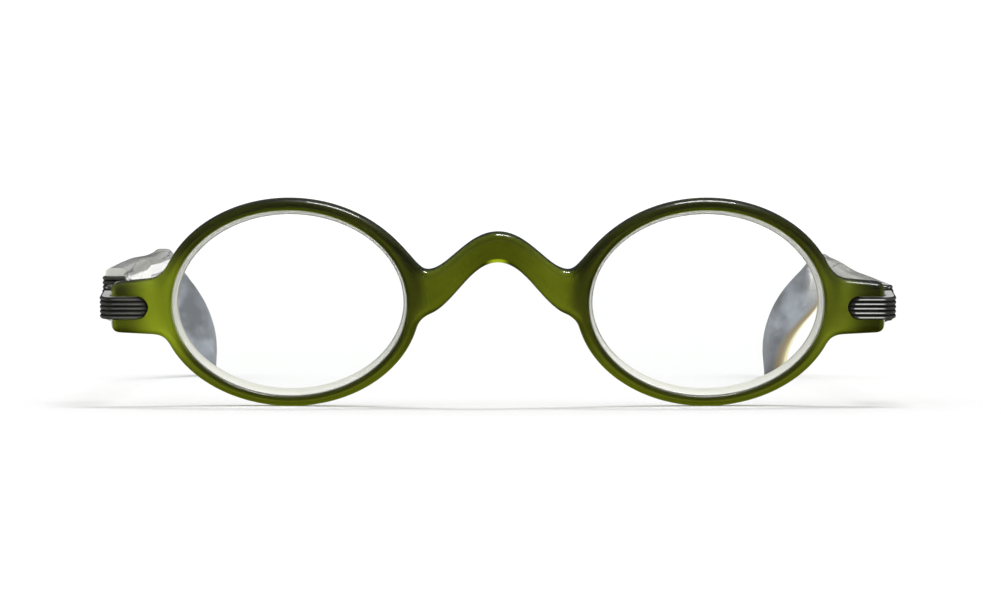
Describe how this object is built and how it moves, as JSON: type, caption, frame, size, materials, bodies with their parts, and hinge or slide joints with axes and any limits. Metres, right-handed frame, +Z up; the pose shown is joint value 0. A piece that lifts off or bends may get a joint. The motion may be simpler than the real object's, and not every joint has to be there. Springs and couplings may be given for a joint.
{
  "type": "reading glasses",
  "caption": "Oval reading glasses with a translucent green saddle-bridge front, clear lenses, ribbed metal hinge plates and clear folding temples with bent ends.",
  "frame": {"origin": "centre of the bounding box on the floor that the open glasses stand on", "axes": "+Z up; the lenses face -Y and the temples run back along +Y; +X is the right of the picture"},
  "size_m": [0.1322, 0.1468, 0.0344],
  "materials": {
    "green_acetate": "polished translucent olive green",
    "crystal_acetate": "polished clear",
    "lens": "clear, ground edge",
    "gunmetal": "dark, ribbed",
    "steel": "satin",
    "core_metal": "grey satin"
  },
  "bodies": {
    "front": {"front_frame": "green_acetate", "left_lens": "lens", "left_front_plate": "gunmetal", "left_hinge_screw": "steel", "left_front_rivet_1": "steel", "left_front_rivet_2": "steel", "right_lens": "lens", "right_front_plate": "gunmetal", "right_hinge_screw": "steel", "right_front_rivet_1": "steel", "right_front_rivet_2": "steel"},
    "left_arm": {"left_temple_plate": "gunmetal", "left_temple": "crystal_acetate", "left_temple_core": "core_metal", "left_temple_rivet_1": "steel", "left_temple_rivet_2": "steel"},
    "right_arm": {"right_temple_plate": "gunmetal", "right_temple": "crystal_acetate", "right_temple_core": "core_metal", "right_temple_rivet_1": "steel", "right_temple_rivet_2": "steel"}
  },
  "joints": [
    {"name": "left_temple_fold", "type": "hinge", "parent": "front", "child": "left_arm", "pos_m": [-0.06407, -0.05996, 0.01747], "axis": [0, 0.1653, -0.9862], "range_deg": [0, 88]},
    {"name": "right_temple_fold", "type": "hinge", "parent": "front", "child": "right_arm", "pos_m": [0.06423, -0.05996, 0.01747], "axis": [0, -0.1653, 0.9862], "range_deg": [0, 77]}
  ]
}
